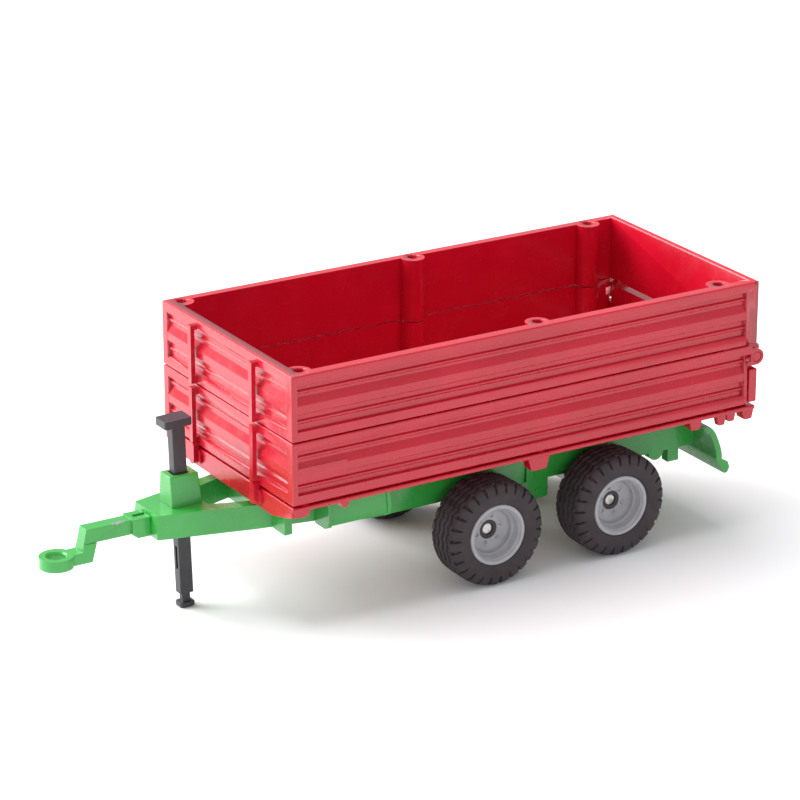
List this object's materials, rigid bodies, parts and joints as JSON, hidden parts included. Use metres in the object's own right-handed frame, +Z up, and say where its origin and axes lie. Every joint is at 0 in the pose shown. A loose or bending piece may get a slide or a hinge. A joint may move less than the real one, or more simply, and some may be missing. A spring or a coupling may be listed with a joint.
{
  "type": "toy tandem-axle tipping farm trailer",
  "caption": "Die-cast toy farm trailer with a two-tier tipping body, swinging tailgate, four rolling wheels, drawbar eye and a sliding parking jack.",
  "frame": {"origin": "on the ground, under the middle of the overall length and width", "axes": "+X forward to the hitch eye, +Y to the trailer's left side, +Z up"},
  "size_m": [0.2178, 0.075, 0.0775],
  "materials": {
    "body_red": "glossy bright red enamel on die-cast metal",
    "chassis_green": "glossy grass-green enamel on die-cast metal",
    "tyre_rubber": "soft dark brown-grey rubber, matt",
    "rim_grey": "light grey satin plastic",
    "charcoal_plastic": "charcoal satin plastic",
    "steel": "bright cut steel"
  },
  "bodies": {
    "chassis": {"chassis_frame": "chassis_green", "drawbar_tongue": "chassis_green", "jack_socket": "chassis_green", "tool_box": "chassis_green", "spring_bracket_left": "chassis_green", "spring_bracket_right": "chassis_green", "rear_guard": "chassis_green", "axle_front": "steel", "axle_rear": "steel", "tipping_hinge_pin": "steel", "tongue_pin": "steel"},
    "tipping_body": {"base_plate": "body_red", "lower_ring": "body_red", "tipping_rail_left": "body_red", "tipping_rail_right": "body_red", "base_screws": "steel"},
    "top_ring": {"upper_ring": "body_red"},
    "rear_gate": {"tailgate": "body_red", "tailgate_pins": "body_red"},
    "jack": {"jack_leg": "charcoal_plastic", "jack_foot": "charcoal_plastic"},
    "wheel_front_left": {"tyre_front_left": "tyre_rubber", "rim_front_left": "rim_grey", "hub_bush_front_left": "charcoal_plastic"},
    "wheel_front_right": {"tyre_front_right": "tyre_rubber", "rim_front_right": "rim_grey", "hub_bush_front_right": "charcoal_plastic"},
    "wheel_rear_left": {"tyre_rear_left": "tyre_rubber", "rim_rear_left": "rim_grey", "hub_bush_rear_left": "charcoal_plastic"},
    "wheel_rear_right": {"tyre_rear_right": "tyre_rubber", "rim_rear_right": "rim_grey", "hub_bush_rear_right": "charcoal_plastic"}
  },
  "joints": [
    {"name": "body_tip", "type": "hinge", "parent": "chassis", "child": "tipping_body", "pos_m": [-0.0895, 0, 0.0286], "axis": [0, -1, 0], "range_deg": [0, 45]},
    {"name": "tailgate_swing", "type": "hinge", "parent": "tipping_body", "child": "rear_gate", "pos_m": [-0.1057, 0, 0.0542], "axis": [0, 1, 0], "range_deg": [0, 90]},
    {"name": "upper_ring_lift", "type": "slide", "parent": "tipping_body", "child": "top_ring", "axis": [0, 0, 1], "range_m": [0, 0.03]},
    {"name": "jack_slide", "type": "slide", "parent": "chassis", "child": "jack", "axis": [0.0314, 0, 0.9995], "range_m": [0, 0.02]},
    {"name": "wheel_front_left_turn", "type": "hinge", "parent": "chassis", "child": "wheel_front_left", "pos_m": [-0.0182, 0.0286, 0.0157], "axis": [0, 1, 0], "continuous": true},
    {"name": "wheel_front_right_turn", "type": "hinge", "parent": "chassis", "child": "wheel_front_right", "pos_m": [-0.0182, -0.0286, 0.0157], "axis": [0, 1, 0], "continuous": true},
    {"name": "wheel_rear_left_turn", "type": "hinge", "parent": "chassis", "child": "wheel_rear_left", "pos_m": [-0.0606, 0.0286, 0.0157], "axis": [0, 1, 0], "continuous": true},
    {"name": "wheel_rear_right_turn", "type": "hinge", "parent": "chassis", "child": "wheel_rear_right", "pos_m": [-0.0606, -0.0286, 0.0157], "axis": [0, 1, 0], "continuous": true}
  ]
}
